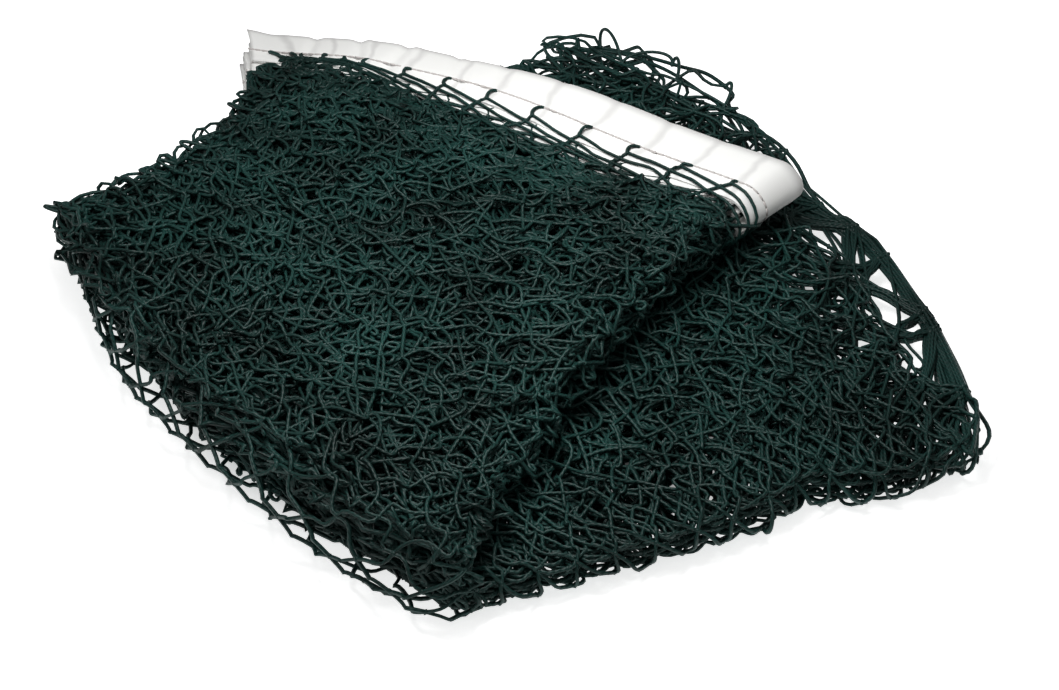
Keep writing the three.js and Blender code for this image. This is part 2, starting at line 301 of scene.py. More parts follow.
def bundle_points(across, along, depth):
    """Places in the bundle: across the stack, along it, and how deep in its layers from the outside.

    At the slanted fold the outermost layers stand off and the others are drawn in.
    """
    along = along + step_back(across, along, depth)
    upper = upper_plan(across, np.minimum(along, 1.0))
    lower = lower_plan(across, np.maximum(along - 2.0, 0.0))
    crease = fold_side(across)
    top = upper_height(crease, across, np.ones(len(across)), depth)
    bottom = lower_height(crease, depth)
    turn = np.clip(along - 1.0, 0.0, 1.0) * math.pi
    tuck = FOLD_TUCK * smooth_step(depth * (LAY_COUNT - 1), 0.0, LOOSE_LAYERS)
    stands_off = between(FAR_ROUNDNESS, FOLD_ROUNDNESS, smooth_step(across, 0.0, FAR_SHARE))
    reach = stands_off * (1 - tuck) * (top - bottom) / 2 * np.sin(turn)
    fold = crease + reach[:, None] * fold_outward(across)
    fold_height = (top + bottom + (top - bottom) * np.cos(turn)) / 2
    in_upper, in_lower = along <= 1.0, along >= 2.0
    plan = np.where(in_upper[:, None], upper, np.where(in_lower[:, None], lower, fold))
    height = np.where(
        in_upper,
        upper_height(upper, across, np.minimum(along, 1.0), depth),
        np.where(in_lower, foot_height(lower, across, along, depth), fold_height),
    )
    return np.column_stack([plan - PLAN_MIDDLE, height])


# The layer of each lay, in the order that the net runs through them. The first lay is outermost and
# wraps the right-hand side of the others, which go back and forth from the innermost one outwards.
LAYER_OF_LAY = np.array([0] + list(range(LAY_COUNT - 1, 0, -1)), float)
TURN_REACHES = rng.uniform(TURN_REACH_LOW, TURN_REACH_HIGH, LAY_COUNT + 1)
TURN_REACHES[1] = WRAP_REACH
TURN_REACHES[TURNS_UNDER_WRAP:] *= REACH_UNDER_WRAP
FAN_REACHES = np.where(
    np.arange(LAY_COUNT + 1) % 2 == 0,
    rng.uniform(*BACK_FAN, LAY_COUNT + 1),
    rng.uniform(*FRONT_FAN, LAY_COUNT + 1),
)
FOOT_REACHES = rng.uniform(*FOOT_ENDS, LAY_COUNT)
LAY_SHIFTS = rng.uniform(*LAY_SHIFT, LAY_COUNT)
FOOT_PHASES = rng.uniform(0.0, 1.0, LAY_COUNT)


def places_on_run(run, along, left_reach=0.0):
    """Where the net is, counted in lays from its first end: across the stack and how deep in it.

    What is stiffer than the netting reaches out farther in the turns at the left.
    """
    lay = np.clip(np.floor(run), 0, LAY_COUNT - 1).astype(int)
    share = run - lay
    turn = np.clip(np.round(run), 0, LAY_COUNT).astype(int)
    is_turn = (turn > 0) & (turn < LAY_COUNT)
    half = np.where(turn == 1, WRAP_SHARE, np.where(is_turn, TURN_SHARE, 0.0))
    trimmed = np.clip((share - half) / (1 - 2 * half), 0.0, 1.0)
    across = np.where(lay % 2 == 0, trimmed, 1 - trimmed)
    before = LAYER_OF_LAY[np.clip(turn - 1, 0, LAY_COUNT - 1)]
    after = LAYER_OF_LAY[np.clip(turn, 0, LAY_COUNT - 1)]
    angle = np.clip((run - turn) / np.maximum(half, SLOPE_STEP), -1.0, 1.0) * math.pi / 2
    turning = is_turn & (np.abs(run - turn) < half)
    middle = (before + after - (before - after) * np.sin(angle)) / 2
    layer = np.where(turning, middle, LAYER_OF_LAY[lay])
    outward = np.where(turn % 2 == 1, 1.0, -1.0)
    reach = TURN_REACHES[turn] + np.where(turn % 2 == 0, left_reach, 0.0)
    from_edge = np.hypot(angle * 2 / math.pi, WRAP_EDGE_ROUNDING) - WRAP_EDGE_ROUNDING
    creased = 1 - from_edge / (math.hypot(1, WRAP_EDGE_ROUNDING) - WRAP_EDGE_ROUNDING)
    bulge = np.where(turn == 1, creased, np.cos(angle))
    across = across + np.where(turning, outward * reach / PANEL_WIDTH * bulge, 0.0)
    across = across - left_reach / PANEL_WIDTH * (1 - smooth_step(run, 0.0, 2 * TURN_SHARE))
    fan = smooth_step(along, *FAN_OPENS) / PANEL_WIDTH
    back, front = FAN_REACHES[2 * ((lay + 1) // 2)], FAN_REACHES[2 * (lay // 2) + 1]
    across = across + fan * (front * across - back * (1 - across))
    return across, layer / (LAY_COUNT - 1), turning


def net_surface(run, along, left_reach=0.0):
    across, depth, _ = places_on_run(run, along, left_reach)
    return bundle_points(across, along, depth)


def net_facing(run, along, left_reach=0.0):
    """The direction square to the net, on the side that lies outwards in the first lay."""
    before, after = np.maximum(run - SLOPE_STEP, 0.0), np.minimum(run + SLOPE_STEP, LAY_COUNT)
    run_slope = net_surface(after, along, left_reach) - net_surface(before, along, left_reach)
    lower = net_surface(run, along + SLOPE_STEP, left_reach)
    upper = net_surface(run, along - SLOPE_STEP, left_reach)
    return unit(np.cross(lower - upper, run_slope))


# Rows of knots, from below the seam on the head tape to the bottom edge. The first rows are drawn
# askew, so that half of their bars lie along the tape, and they lie higher on it at the left and by
# the wrapped end.
SEAM_FROM_CREASE = 25.0
FIRST_ROW = 34.0
TAPE_ROW_STEP = 4.8
TAPE_ROWS = 7
SKEWED_ROWS = 4
ROW_SKEW = 0.4
SKEW_BEGINS = 0.25
RAISED_AT_LEFT = 3.0
CROWDED_AT_LEFT = 2.6
CROWDED_ROWS = 3
RAISED_ROWS = 11
RAISED_AT_WRAP = 5.8
RAISED_BY_WRAP = (0.13, 0.3)
FOOT_ROW_STEP = 17.0
FOOT_ROWS = 1
STRETCHED_FOOT_ROWS = 4


def row_distances():
    """Each row's distance from the tape's crease: rows lie close by the tape, far apart at the foot."""
    whole = UPPER_LENGTH - FIRST_ROW + FOLD_LENGTH + LOWER_LENGTH
    between = ROW_COUNT - TAPE_ROWS - FOOT_ROWS
    step = (whole - TAPE_ROWS * TAPE_ROW_STEP - FOOT_ROWS * FOOT_ROW_STEP) / between
    steps = [TAPE_ROW_STEP] * TAPE_ROWS + [step] * between + [FOOT_ROW_STEP] * FOOT_ROWS
    return FIRST_ROW + np.concatenate([[0.0], np.cumsum(steps)])


def along_stack(distance):
    ends = np.cumsum([0.0, UPPER_LENGTH, FOLD_LENGTH, LOWER_LENGTH])
    return np.interp(distance, ends, [0.0, 1.0, 2.0, 3.0])


def lay_out_net():
    """Each knot's place on the run and its row, and the bars from each row of knots to the next."""
    numbers, runs, rows = [], [], []
    count = 0
    for row in range(ROW_COUNT + 1):
        odd = row % 2
        in_row = MESH_COUNT + 1 - odd
        numbers.append(np.arange(count, count + in_row))
        runs.append((np.arange(in_row) + odd / 2) / MESHES_IN_LAY)
        rows.append(np.full(in_row, row))
        count += in_row
    bars = []
    for row in range(ROW_COUNT):
        upper, lower = numbers[row], numbers[row + 1]
        if row % 2:
            bars += [np.column_stack([upper, lower[1:]]), np.column_stack([upper, lower[:-1]])]
        else:
            bars += [np.column_stack([upper[:-1], lower]), np.column_stack([upper[1:], lower])]
    return np.concatenate(runs), np.concatenate(rows), np.concatenate(bars), numbers[-1]


def order_by_twine(bars, runs, rows):
    """The bars in order along each slanting twine, and whether they go right."""
    rightward = runs[bars[:, 1]] > runs[bars[:, 0]]
    half_meshes = np.round(2 * MESHES_IN_LAY * runs[bars[:, 0]]).astype(int)
    row = rows[bars[:, 0]]
    twine = np.where(rightward, half_meshes - row, half_meshes + row)
    order = np.lexsort((row, twine, rightward))
    return bars[order], rightward[order]


# How the slack net rumples: long waves of each lay by itself, and a little for every knot. There is
# less of it at the sides, by the tape, in the fold and in the band at the foot.
RUMPLE_WAVES = 7
RUMPLE_SHORTEST = 110.0
RUMPLE_LONGEST = 340.0
RUMPLE_SIDEWAYS = 11.0
RUMPLE_UPWARDS = 0.8
RUMPLE_AT_EDGES = 0.3
RUMPLE_AT_BACK = 0.7
RUMPLE_ENDS_AT_FOLD = (0.9, 1.2)
RUMPLE_STARTS_AFTER_FOLD = (1.9, 2.2)
EDGE_SHARE = 0.12
KNOT_SIDEWAYS = 2.4
KNOT_UPWARDS = 0.7
CALM_ROWS_AT_TAPE = 7
CALM_AT_FOOT = 0.06
CALM_IN_FOLD = 0.45
CALM_AT_FOLD = 0.12
FOLD_CALMS = (1.0, 1.4)
FOLD_CALM_ENDS = (1.8, 2.0)
CALM_AT_FRONT = 0.4
FRONT_SHARE = (0.84, 0.95)

# The loose netting of the lower half behind the tape: where it is, and how uneven its edge is.
BACK_SHARE = (0.3, 0.6)
BACK_BEGINS = (2.2, 2.6)
BACK_UNEVEN = 1.2
BACK_LEVEL = 0.5
BACK_WAVE = 46.0
BACK_WAVE_DEPTH = 5.0

# In the band at the foot mesh lies on mesh, and the meshes are wider and narrower in turn.
FOOT_ALIGNED = 0.95
FOOT_IRREGULAR = 0.32
TURN_FROM_MESH_TO_MESH = 2.4
TURN_FROM_ROW_TO_ROW = 1.7

# How bars that are too long are drawn together: in how many steps, how hard, and how far knots go back.
SETTLING_STEPS = 24
SETTLING_PULL = 1.8
SETTLING_RETURN = 0.02


def rumple(points, lay):
    """A smooth displacement of the points, different for every lay."""
    moved = np.zeros_like(points)
    size = np.array([RUMPLE_SIDEWAYS, RUMPLE_SIDEWAYS, RUMPLE_UPWARDS])
    for _ in range(RUMPLE_WAVES):
        heading = rng.uniform(0, 2 * math.pi, LAY_COUNT)[lay]
        wavelength = rng.uniform(RUMPLE_SHORTEST, RUMPLE_LONGEST, LAY_COUNT)[lay]
        phase = rng.uniform(0, 2 * math.pi, (LAY_COUNT, 3))[lay]
        distance = points[:, 0] * np.cos(heading) + points[:, 1] * np.sin(heading)
        wave = np.sin((2 * math.pi * distance / wavelength)[:, None] + phase)
        moved += wave * size * math.sqrt(2 / RUMPLE_WAVES)
    return moved


def settle(points, bars, longest, free):
    """Draws the knots that are free together until no bar of twine is longer than it can be."""
    home = points.copy()
    shared = np.maximum(np.bincount(bars.ravel(), minlength=len(points)), 1)[:, None]
    for _ in range(SETTLING_STEPS):
        gap = points[bars[:, 1]] - points[bars[:, 0]]
        length = np.linalg.norm(gap, axis=1)
        excess = np.maximum(length - longest, 0.0) / np.maximum(length, 1e-6)
        pull = gap * excess[:, None] / 2
        moved = np.zeros_like(points)
        np.add.at(moved, bars[:, 0], pull)
        np.add.at(moved, bars[:, 1], -pull)
        points = points + moved * SETTLING_PULL / shared * free[:, None]
        points += (home - points) * SETTLING_RETURN
        points[:, 2] = np.maximum(points[:, 2], LOWEST_TWINE)
    return points


# The thickness of the tape's cloth, and how far off the net's own place its flaps and the twine on
# them lie.
TAPE_CLOTH = 0.35
TAPE_FLAP_LIFT = 0.45
TWINE_LIFT = TAPE_FLAP_LIFT + TAPE_CLOTH / 2 + TWINE_DIAMETER / 2


def skewed_runs(runs, rows):
    """Where on the run the knots lie after the first rows are drawn askew."""
    rows_left = np.maximum(SKEWED_ROWS - rows, 0)
    return runs - ROW_SKEW * rows_left / MESHES_IN_LAY * smooth_step(runs, 0.0, SKEW_BEGINS)


def over_mesh_below(across, rows):
    """The place across the stack of the nearest knot, if all the lays' meshes lay on each other.

    The meshes there are wider and narrower in turn, in all the lays alike.
    """
    odd = (rows % 2) / 2
    column = np.round(across * MESHES_IN_LAY - odd)
    turn = TURN_FROM_MESH_TO_MESH * column + TURN_FROM_ROW_TO_ROW * rows
    return (column + odd + FOOT_IRREGULAR * np.sin(turn)) / MESHES_IN_LAY


def share_of_back(across, along):
    """How far a place belongs to the loose netting of the lower half behind the tape."""
    return (1 - smooth_step(across, *BACK_SHARE)) * smooth_step(along, *BACK_BEGINS)


def rumple_room(across, along):
    """How much of the long waves there is: less at the bundle's sides and in the slanted fold."""
    inside = smooth_step(np.minimum(across, 1 - across), 0.0, EDGE_SHARE)
    after_fold = smooth_step(along, *RUMPLE_STARTS_AFTER_FOLD)
    inside *= 1 - smooth_step(along, *RUMPLE_ENDS_AT_FOLD) * (1 - after_fold)
    least = between(RUMPLE_AT_EDGES, RUMPLE_AT_BACK, share_of_back(across, along))
    return between(least, 1, inside)


def knot_freedom(rows, across, along, layer, gathered):
    """How freely each knot rumples: little by the tape, at the foot, in the fold and at the front."""
    at_tape = smooth_step(rows, 0, CALM_ROWS_AT_TAPE)
    in_fold = smooth_step(along, *FOLD_CALMS) * (1 - smooth_step(along, *FOLD_CALM_ENDS))
    calm_in_fold = between(CALM_AT_FOLD, CALM_IN_FOLD, smooth_step(layer, 0.0, LOOSE_LAYERS))
    at_front = smooth_step(across, *FRONT_SHARE) * smooth_step(along, 1.0, 2.0)
    calm = between(1, CALM_AT_FOOT, gathered) * between(1, calm_in_fold, in_fold)
    return at_tape * calm * between(1, CALM_AT_FRONT, at_front)


def raised_by_tape(runs, rows, across):
    """How much nearer to the tape's crease the first rows lie, at the left and by the wrapped end."""
    at_left = RAISED_AT_LEFT + CROWDED_AT_LEFT * np.minimum(rows, CROWDED_ROWS)
    at_left *= 1 - smooth_step(rows, CROWDED_ROWS, RAISED_ROWS)
    at_left *= 1 - smooth_step(across, *HEAP_TURNS)
    by_wrap = 1 - smooth_step(np.abs(runs - 1), *RAISED_BY_WRAP)
    by_wrap *= 1 - smooth_step(rows, 0, RAISED_ROWS)
    return at_left + RAISED_AT_WRAP * by_wrap


def slip_in_fold(along, layer):
    """How far rows of the outermost lay slip along the slanted fold."""
    slipping = np.clip((along - SLIP_MIDDLE) / SLIP_REACH, -1.0, 1.0)
    slip = SLIP_SHARE * SLIP_REACH * np.sin(math.pi * slipping) / math.pi
    return slip * (1 - smooth_step(layer, 0.0, LOOSE_LAYERS))


def uneven_foot(across, along, lay, gathered, at_back):
    """How far each lay's bottom edge reaches past the foot of the stack, or stays short of it."""
    share = between(1, FOOT_BAND_SPREAD, gathered) - BACK_LEVEL * at_back
    edge_waves = np.sin(2 * math.pi * (across * PANEL_WIDTH / BACK_WAVE + FOOT_PHASES[lay]))
    reach = FOOT_REACHES[lay] * share + BACK_WAVE_DEPTH * edge_waves * at_back
    return reach * smooth_step(along, FOOT_ENDS_FROM, 3.0)


def heap_height(across, from_crease, layer):
    """How much higher the netting of the upper layers lies where it is heaped against the tape."""
    starts = between(HEAP_AT_LEFT, HEAP_AT_RIGHT, smooth_step(across, *HEAP_TURNS))
    heaped = smooth_step(from_crease - starts, 0.0, HEAP_SLOPE)
    heaped = heaped * (1 - smooth_step(from_crease, *HEAP_STOPS))
    heaped *= layer / HEAP_LAYERS * (1 - smooth_step(layer, HEAP_LAYERS, 2 * HEAP_LAYERS))
    return HEAP_HEIGHT * heaped


def lift_over_tape(runs, from_crease):
    """How far the outermost lay's knots are lifted off the net's own place by the tape under them."""
    over_tape = 1 - smooth_step(from_crease, TAPE_WIDTH - TAPE_ROW_STEP, TAPE_WIDTH + TAPE_ROW_STEP)
    over_tape = np.where(runs < 1 + WRAP_SHARE, over_tape, 0.0)
    return over_tape * TWINE_LIFT


def knot_places(runs, rows):
    """Every knot in the bundle, rumpled, with the direction square to the net there."""
    runs = skewed_runs(runs, rows)
    lay = np.clip(np.floor(runs), 0, LAY_COUNT - 1).astype(int)
    loose = smooth_step(rows, *LAYS_SHIFT_FROM) * (1 - smooth_step(rows, *LAYS_SHIFT_TO))
    along = along_stack(row_distances()[rows] + loose * LAY_SHIFTS[lay])
    across, depth, turning = places_on_run(runs, along)
    by_tape = (1 - smooth_step(rows, *DRAWN_IN_ROWS)) * (1 - smooth_step(across, 0.0, DRAWN_IN_SHARE))
    across = across + DRAWN_IN / PANEL_WIDTH * by_tape
    along = along - raised_by_tape(runs, rows, across) / UPPER_LENGTH
    layer = depth * (LAY_COUNT - 1)
    facing = net_facing(runs, along)
    along = along - slip_in_fold(along, layer)
    gathered = foot_gathering(across, along)
    across += FOOT_ALIGNED * gathered * (over_mesh_below(across, rows) - across)
    at_back = share_of_back(across, along) * (1 - gathered)
    along += uneven_foot(across, along, lay, gathered, at_back) / LOWER_LENGTH
    points = bundle_points(across, along, depth)
    freedom = knot_freedom(rows, across, along, layer, gathered)
    jitter = rng.normal(0, 1, points.shape) * [KNOT_SIDEWAYS, KNOT_SIDEWAYS, KNOT_UPWARDS]
    waves = rumple(points, lay) * rumple_room(across, along)[:, None]
    points += (waves + jitter * (1 + BACK_UNEVEN * at_back)[:, None]) * freedom[:, None]
    from_crease = along * UPPER_LENGTH
    points[:, 2] += heap_height(across, from_crease, layer)
    points += facing * lift_over_tape(runs, from_crease)[:, None]
    return {
        "points": points,
        "facing": facing,
        "runs": runs,
        "rows": rows,
        "along": along,
        "layer": layer,
        "turning": turning,
        "freedom": freedom,
        "gathered": gathered,
        "at_back": at_back,
    }


# How far the knots turn in the rumpled net, and how the twine curls between them. The curl makes a
# bar a little longer than its net size, so that it shows.
CURL_LEAST = 0.06
CURL_MOST = 0.28
TAUT_CURL = 0.05
LOWER_SLACK = 0.24
LOWER_SLACK_OPENS = (2.1, 2.5)
FOOT_STRETCH = 1.4
TAPE_STRETCH = 1.35
KNOT_TURN = 0.6
KNOT_TILT = 0.2
BEND_LEAST = 0.15
BEND_MOST = 3.0
BEND_TRIES = 9


def chords(net, bars):
    """How far the two knots of each bar are from each other."""
    return np.linalg.norm(net["points"][bars[:, 1]] - net["points"][bars[:, 0]], axis=1)


def bar_lengths(net, bars):
    """The length of each bar with its curl: full where the net is slack, none where it is taut."""
    curled = BAR_LENGTH * (1 + rng.uniform(CURL_LEAST, CURL_MOST, len(bars)))
    curled *= 1 + LOWER_SLACK * smooth_step(net["along"][bars[:, 0]], *LOWER_SLACK_OPENS)
    slack = net["freedom"][bars].mean(axis=1)
    return slack * curled + (1 - slack) * chords(net, bars) * (1 + TAUT_CURL)


def knot_directions(net, bars, rightward):
    """The two directions in which twine crosses each knot, turned with the knot."""
    points, facing = net["points"], net["facing"]
    turn = (rng.normal(0, KNOT_TURN, len(points)) * net["freedom"])[:, None]
    tilt = (rng.normal(0, KNOT_TILT, len(points)) * net["freedom"])[:, None]
    directions = []
    for side in (rightward, ~rightward):
        before, after = points.copy(), points.copy()
        after[bars[side, 0]] = points[bars[side, 1]]
        before[bars[side, 1]] = points[bars[side, 0]]
        straight = unit(after - before)
        turned = straight * np.cos(turn) + np.cross(facing, straight) * np.sin(turn)
        directions.append(turned * np.cos(tilt) + facing * np.sin(tilt))
    return directions


# Loops of twine that stand out of the bundle: by which place, which way and with how much twine
# more than from knot to knot.
LOOPS = [
    {"by": (-222.0, 42.0, 36.0), "outward": (-0.95, 0.0, 0.3), "twine": 24.0},
    {"by": (63.0, 200.0, 36.0), "outward": (-0.1, 0.7, 0.7), "twine": 18.0},
    {"by": (84.0, 192.0, 34.0), "outward": (0.2, 0.7, 0.6), "twine": 7.0},
    {"by": (113.0, 181.0, 32.0), "outward": (0.3, 0.7, 0.6), "twine": 7.0},
    {"by": (131.0, 169.0, 30.0), "outward": (0.5, 0.6, 0.6), "twine": 8.0},
    {"by": (150.0, 150.0, 28.0), "outward": (0.6, 0.6, 0.5), "twine": 7.0},
    {"by": (-153.0, 134.0, 42.0), "outward": (-0.9, 0.2, 0.3), "twine": 18.0},
    {"by": (-167.0, 105.0, 42.0), "outward": (-0.9, 0.2, 0.3), "twine": 18.0},
    {"by": (-175.0, 76.0, 42.0), "outward": (-0.9, 0.2, 0.3), "twine": 16.0},
    {"by": (129.0, -160.0, 4.0), "outward": (0.2, -1.0, 0.1), "twine": 12.0},
]

# How much a place farther out counts in the choice of a bar for such a loop. Bars at the left and at
# the back have more twine too, and those at the left spread and lean. At the front they are tight.
LOOP_OUTERMOST = 1.4
SIDE_LOOPS = (1.0, 1.8)
BACK_LOOPS = (0.1, 0.9)
LOOP_SPREAD = (0.4, 1.1)
LOOP_LEAN = 1.2
TIGHT_AT_FRONT = 1.15


def open_side_loops(net, chosen):
    """Opens the bends of twine at the left into loops that stand out and lean this way and that."""
    bars = net["bars"][chosen]
    count = len(bars)
    lower = smooth_step(net["along"][bars[:, 0]], 1.0, 2.0)[:, None]
    above, below = leftward_of(FOLD_FAR, TAPE_LEFT), leftward_of(FOLD_FAR, FOOT_FAR)
    plan = unit(above * (1 - lower) + below * lower)
    flat = np.zeros(count)
    outward = np.column_stack([plan, flat])
    lean = rng.uniform(-LOOP_LEAN, LOOP_LEAN, count)
    sideways = np.column_stack([plan[:, 1] * np.cos(lean), -plan[:, 0] * np.cos(lean), np.sin(lean)])
    towards = ((net["points"][bars[:, 1]] - net["points"][bars[:, 0]]) * sideways).sum(axis=1)
    spread = np.where(towards > 0, -1, 1) * rng.uniform(*LOOP_SPREAD, count)
    net["leaving"][chosen] = unit(outward + sideways * spread[:, None])
    net["arriving"][chosen] = unit(sideways * spread[:, None] - outward)


def pull_out_loops(net, parts):
    """Gives the bars at the left and back more twine, and pulls out one bar for each of the loops."""
    bars, turns = net["bars"], np.round(net["runs"]).astype(int)
    at_left = (net["turning"] & (turns % 2 == 0))[bars].any(axis=1)
    net["lengths"][at_left] *= rng.uniform(*SIDE_LOOPS, at_left.sum())
    open_side_loops(net, at_left)
    chord = chords(net, bars)
    slack = net["at_back"][bars].mean(axis=1) * rng.uniform(*BACK_LOOPS, len(bars))
    net["lengths"] = np.maximum(net["lengths"], chord * (1 + slack))
    at_front = (net["turning"] & (turns % 2 == 1) & (net["along"] > 2.0))[bars].any(axis=1)
    net["lengths"][at_front] = np.minimum(net["lengths"], chord * TIGHT_AT_FRONT)[at_front]
    middles = net["points"][bars].mean(axis=1)
    shown = np.array(["inner" not in part for part in parts])
    for loop in LOOPS:
        offset = middles - np.array(loop["by"])
        outward = unit(np.array(loop["outward"]))
        distance = np.linalg.norm(offset, axis=1) - LOOP_OUTERMOST * (offset @ outward)
        bar = np.argmin(np.where(shown, distance, np.inf))
        net["leaving"][bar], net["arriving"][bar] = outward, -outward
        net["lengths"][bar] = chord[bar] + loop["twine"]
        parts[bar] = "netting_loops"


def bent_bars(start, end, leaving, arriving, length, segments):
    """Points along each bar, on the curve between its two knots that is as long as the bar is."""
    share = np.linspace(0, 1, segments + 1)[None, :, None]
    chord = start[:, None] + (end - start)[:, None] * share**2 * (3 - 2 * share)
    bend = leaving[:, None] * share * (1 - share) ** 2 - arriving[:, None] * share**2 * (1 - share)
    low = np.full(len(start), BEND_LEAST * BAR_LENGTH)
    high = np.full(len(start), BEND_MOST * BAR_LENGTH)
    for _ in range(BEND_TRIES):
        middle = (low + high) / 2
        points = chord + bend * middle[:, None, None]
        reached = np.linalg.norm(np.diff(points, axis=1), axis=2).sum(axis=1)
        low = np.where(reached < length, middle, low)
        high = np.where(reached < length, high, middle)
    points[:, :, 2] = np.maximum(points[:, :, 2], LOWEST_TWINE)
    return points


def laid_bars(net, bars, segments):
    """Points along bars that lie close on the head tape and bend with it round the end of the stack."""
    share = np.linspace(0, 1, segments + 1)[None, :]
    places = []
    for name in ("runs", "along"):
        first, last = net[name][bars[:, 0]][:, None], net[name][bars[:, 1]][:, None]
        places.append(between(first, last, share).ravel())
    points = net_surface(*places) + TWINE_LIFT * net_facing(*places)
    return points.reshape(len(bars), segments + 1, 3)


def new_mesh(name, points, edges=(), faces=()):
    mesh = bpy.data.meshes.new(name)
    places = (np.asarray(points) * MM).tolist()
    mesh.from_pydata(places, np.asarray(edges).tolist(), np.asarray(faces).tolist())
    return mesh


def show(name, data):
    thing = bpy.data.objects.new(name, data)
    bpy.context.scene.collection.objects.link(thing)
    return thing


def add_values(mesh, name, kind, values):
    attribute = mesh.attributes.new(name, kind, "POINT")
    attribute.data.foreach_set("value", np.ascontiguousarray(values))


def add_node(tree, kind, inputs=None, **settings):
    """A node with its settings, and its inputs linked from sockets or set to values."""
    node = tree.nodes.new(kind)
    for name, value in settings.items():
        setattr(node, name, value)
    for name, value in (inputs or {}).items():
        if isinstance(value, bpy.types.NodeSocket):
            tree.links.new(value, node.inputs[name])
        else:
            node.inputs[name].default_value = value
    return node


def new_tree(name, inputs):
    tree = bpy.data.node_groups.new(name, "GeometryNodeTree")
    tree.interface.new_socket("Geometry", in_out="INPUT", socket_type="NodeSocketGeometry")
    for socket, kind in inputs.items():
        tree.interface.new_socket(socket, in_out="INPUT", socket_type=kind)
    tree.interface.new_socket("Geometry", in_out="OUTPUT", socket_type="NodeSocketGeometry")
    return tree, add_node(tree, "NodeGroupInput").outputs


def end_tree(tree, geometry, material):
    """Ends a tree of geometry nodes: all that it makes is real, shaded smooth and of one material."""
    real = add_node(tree, "GeometryNodeRealizeInstances", {"Geometry": geometry})
    smooth = add_node(tree, "GeometryNodeSetShadeSmooth", {"Geometry": real.outputs["Geometry"]})
    finish = add_node(tree, "GeometryNodeSetMaterial", {
        "Geometry": smooth.outputs["Geometry"],
        "Material": material,
    })
    add_node(tree, "NodeGroupOutput", {"Geometry": finish.outputs["Geometry"]})


def baked(piece, tree, settings):
    """The piece as a plain mesh, after a tree of geometry nodes with its inputs set."""
    modifier = piece.modifiers.new(tree.name, "NODES")
    modifier.node_group = tree
    for item in tree.interface.items_tree:
        if item.in_out == "INPUT" and item.name in settings:
            modifier[item.identifier] = settings[item.name]
    evaluated = piece.evaluated_get(bpy.context.evaluated_depsgraph_get())
    mesh = bpy.data.meshes.new_from_object(evaluated)
    piece.modifiers.remove(modifier)
    path = piece.data
    piece.data = mesh
    bpy.data.meshes.remove(path)
    mesh.name = piece.name
    return piece


# Knots are a little longer than they are wide and high, and each is turned another way.
KNOT_STRETCH = (1.25, 0.95, 0.9)
KNOT_SEED = 5


def twine_tree():
    """Round twine along every edge, as thick as its radius says, with a knot on each marked point."""
    tree, given = new_tree("twine_netting", {
        "Sides": "NodeSocketInt",
        "Knot Radius": "NodeSocketFloat",
        "Seed": "NodeSocketInt",
        "Twine": "NodeSocketMaterial",
    })
    radius = add_node(tree, "GeometryNodeInputNamedAttribute", {"Name": "radius"}, data_type="FLOAT")
    marked = add_node(tree, "GeometryNodeInputNamedAttribute", {"Name": "knot"}, data_type="BOOLEAN")
    path = add_node(tree, "GeometryNodeMeshToCurve", {"Mesh": given["Geometry"]})
    length = add_node(tree, "GeometryNodeSplineParameter")
    measured = add_node(tree, "GeometryNodeStoreNamedAttribute", {
        "Geometry": path.outputs["Curve"],
        "Name": "twine_length",
        "Value": length.outputs["Length"],
    }, data_type="FLOAT", domain="POINT")
    ring = add_node(tree, "GeometryNodeCurvePrimitiveCircle", {
        "Resolution": given["Sides"],
        "Radius": 1.0,
    })
    place = add_node(tree, "GeometryNodeInputPosition")
    marked_ring = add_node(tree, "GeometryNodeStoreNamedAttribute", {
        "Geometry": ring.outputs["Curve"],
        "Name": "twine_around",
        "Value": place.outputs["Position"],
    }, data_type="FLOAT_VECTOR", domain="POINT")
    tube = add_node(tree, "GeometryNodeCurveToMesh", {
        "Curve": measured.outputs["Geometry"],
        "Profile Curve": marked_ring.outputs["Geometry"],
        "Scale": radius.outputs["Attribute"],
        "Fill Caps": True,
    })
    ball = add_node(tree, "GeometryNodeMeshIcoSphere", {
        "Radius": given["Knot Radius"],
        "Subdivisions": 1,
    })
    turn = add_node(tree, "FunctionNodeRandomValue", {
        "Min": (0.0, 0.0, 0.0),
        "Max": (math.tau, math.tau, math.tau),
        "Seed": given["Seed"],
    }, data_type="FLOAT_VECTOR")
    knots = add_node(tree, "GeometryNodeInstanceOnPoints", {
        "Points": given["Geometry"],
        "Selection": marked.outputs["Attribute"],
        "Instance": ball.outputs["Mesh"],
        "Rotation": turn.outputs["Value"],
        "Scale": KNOT_STRETCH,
    })
    both = add_node(tree, "GeometryNodeJoinGeometry", {"Geometry": tube.outputs["Mesh"]})
    tree.links.new(knots.outputs["Instances"], both.inputs["Geometry"])
    end_tree(tree, both.outputs["Geometry"], given["Twine"])
    return tree


def linear(colour):
    """The linear red, green, blue and alpha of an sRGB hex colour."""
    parts = [int(colour[i:i + 2], 16) / 255 for i in (1, 3, 5)]
    return [p / 12.92 if p <= 0.04045 else ((p + 0.055) / 1.055) ** 2.4 for p in parts] + [1.0]


def new_material(name):
    material = bpy.data.materials.new(name)
    material.use_nodes = True
    tree = material.node_tree
    tree.nodes.clear()
    surface = add_node(tree, "ShaderNodeBsdfPrincipled")
    add_node(tree, "ShaderNodeOutputMaterial", {"Surface": surface.outputs["BSDF"]})
    return material, tree, surface.inputs


